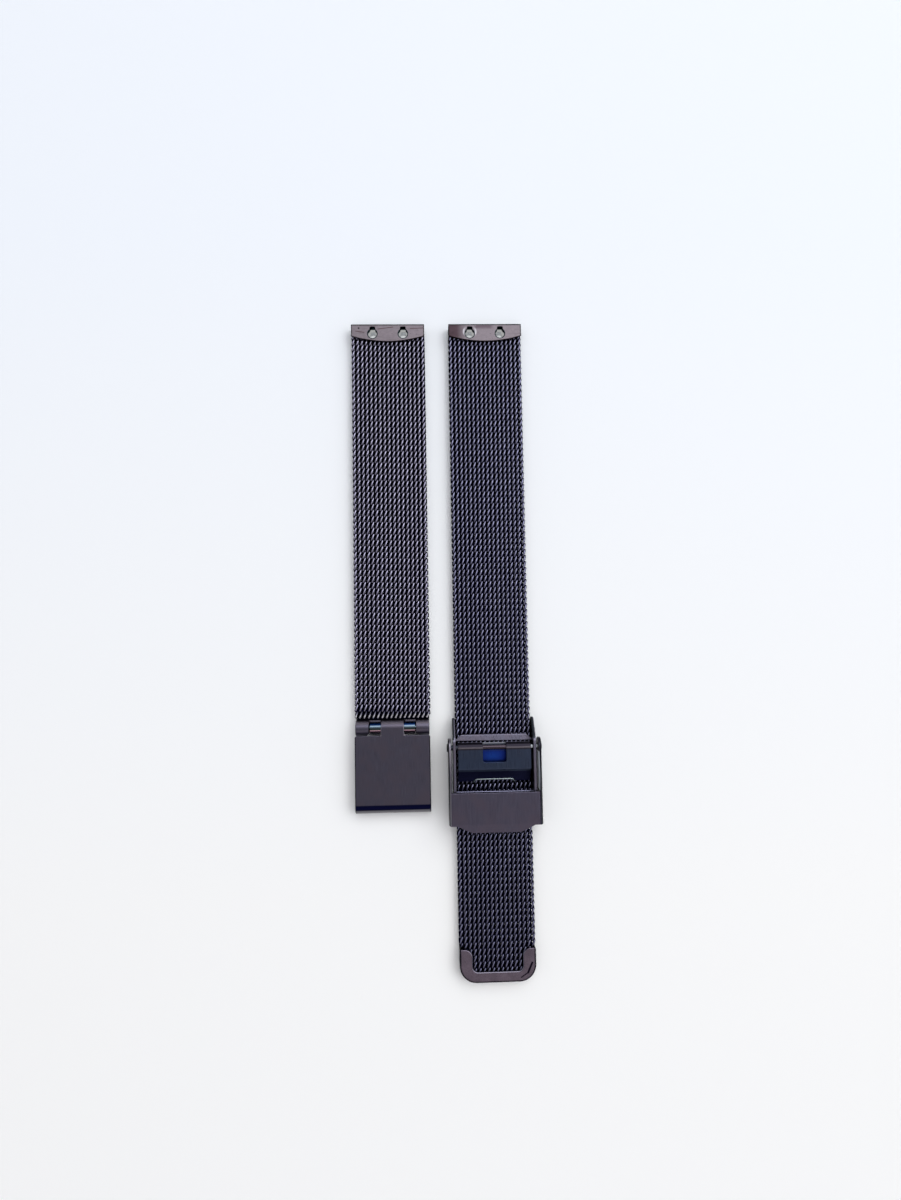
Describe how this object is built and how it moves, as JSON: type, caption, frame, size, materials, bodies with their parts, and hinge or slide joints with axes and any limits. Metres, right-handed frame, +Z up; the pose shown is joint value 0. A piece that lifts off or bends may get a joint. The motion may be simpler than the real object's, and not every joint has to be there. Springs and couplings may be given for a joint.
{
  "type": "mesh watch band",
  "caption": "Woven steel mesh watch band in two straps, with keyhole ends, a hinged hook plate and a sliding fold-over clasp.",
  "frame": {"origin": "middle of the underside of the two straps' common box, on the surface that they lie on", "axes": "+Y along the straps towards the ends that meet the watch, +X from the short strap to the long strap, +Z up, out of the straps' outer face"},
  "size_m": [0.0294, 0.1054, 0.0048],
  "materials": {
    "mesh_wire": "plum-brown plated steel wire, satin",
    "end_sheet": "mauve-brown plated steel sheet, fine satin",
    "clasp_sheet": "plum-brown plated steel sheet, fine satin",
    "tip_sheet": "plum-brown plated steel sheet, half gloss",
    "bright_steel": "polished steel"
  },
  "bodies": {
    "root": {"short_end_cap": "end_sheet", "short_mesh_1": "mesh_wire", "long_end_cap": "end_sheet", "long_mesh_1": "mesh_wire"},
    "short_stretch_2": {"short_mesh_2": "mesh_wire"},
    "short_stretch_3": {"short_mesh_3": "mesh_wire"},
    "short_stretch_4": {"short_mesh_4": "mesh_wire"},
    "short_hinge_end": {"short_mesh_5": "mesh_wire", "hinge_clip": "clasp_sheet", "spring_bar_tube": "bright_steel", "spring_bar_spring": "bright_steel"},
    "plunger_left": {"spring_bar_plunger_left": "bright_steel"},
    "plunger_right": {"spring_bar_plunger_right": "bright_steel"},
    "cover": {"cover_plate": "clasp_sheet"},
    "long_stretch_2": {"long_mesh_2": "mesh_wire"},
    "long_stretch_3": {"long_mesh_3": "mesh_wire"},
    "long_stretch_4": {"long_mesh_4": "mesh_wire"},
    "long_tail": {"long_mesh_tail": "mesh_wire", "tip_cap": "tip_sheet"},
    "slider": {"slider_channel": "clasp_sheet", "pivot_pin": "clasp_sheet"},
    "lock": {"lock_plate": "clasp_sheet"},
    "cap": {"fold_cap": "clasp_sheet"}
  },
  "joints": [
    {"name": "short_flex_1", "type": "hinge", "parent": "root", "child": "short_stretch_2", "pos_m": [-0.00873, 0.03993, 0.00105], "axis": [1, 0, 0], "range_deg": [-20, 40]},
    {"name": "short_flex_2", "type": "hinge", "parent": "short_stretch_2", "child": "short_stretch_3", "pos_m": [-0.00873, 0.0272, 0.00105], "axis": [1, 0, 0], "range_deg": [-20, 40]},
    {"name": "short_flex_3", "type": "hinge", "parent": "short_stretch_3", "child": "short_stretch_4", "pos_m": [-0.00873, 0.01446, 0.00105], "axis": [1, 0, 0], "range_deg": [-20, 40]},
    {"name": "short_flex_4", "type": "hinge", "parent": "short_stretch_4", "child": "short_hinge_end", "pos_m": [-0.00873, 0.00171, 0.00105], "axis": [1, 0, 0], "range_deg": [-20, 40]},
    {"name": "cover_hinge", "type": "hinge", "parent": "short_hinge_end", "child": "cover", "pos_m": [-0.00873, -0.01312, 0.00125], "axis": [1, 0, 0], "range_deg": [-100, 120]},
    {"name": "plunger_left_slide", "type": "slide", "parent": "short_hinge_end", "child": "plunger_left", "axis": [1, 0, 0], "range_m": [0, 0.0006], "stiffness_N_per_m": 20, "springref_m": -0.0004},
    {"name": "plunger_right_slide", "type": "slide", "parent": "short_hinge_end", "child": "plunger_right", "axis": [-1, 0, 0], "range_m": [0, 0.0006], "stiffness_N_per_m": 20, "springref_m": -0.0004},
    {"name": "long_flex_1", "type": "hinge", "parent": "root", "child": "long_stretch_2", "pos_m": [0.00727, 0.03993, 0.00105], "axis": [1, 0, 0], "range_deg": [-20, 40]},
    {"name": "long_flex_2", "type": "hinge", "parent": "long_stretch_2", "child": "long_stretch_3", "pos_m": [0.00727, 0.02817, 0.00105], "axis": [1, 0, 0], "range_deg": [-20, 40]},
    {"name": "long_flex_3", "type": "hinge", "parent": "long_stretch_3", "child": "long_stretch_4", "pos_m": [0.00727, 0.01641, 0.00105], "axis": [1, 0, 0], "range_deg": [-20, 40]},
    {"name": "long_flex_4", "type": "hinge", "parent": "long_stretch_4", "child": "long_tail", "pos_m": [0.00727, 0.00466, 0.00105], "axis": [1, 0, 0], "range_deg": [-20, 40]},
    {"name": "slider_travel", "type": "slide", "parent": "long_tail", "child": "slider", "axis": [0, 1, 0], "range_m": [-0.02, 0.015]},
    {"name": "lock_hinge", "type": "hinge", "parent": "slider", "child": "lock", "pos_m": [0.00727, -0.01627, 0.003], "axis": [-1, 0, 0], "range_deg": [0, 70]},
    {"name": "cap_hinge", "type": "hinge", "parent": "slider", "child": "cap", "pos_m": [0.00727, -0.01627, 0.003], "axis": [-1, 0, 0], "range_deg": [0, 165]}
  ]
}
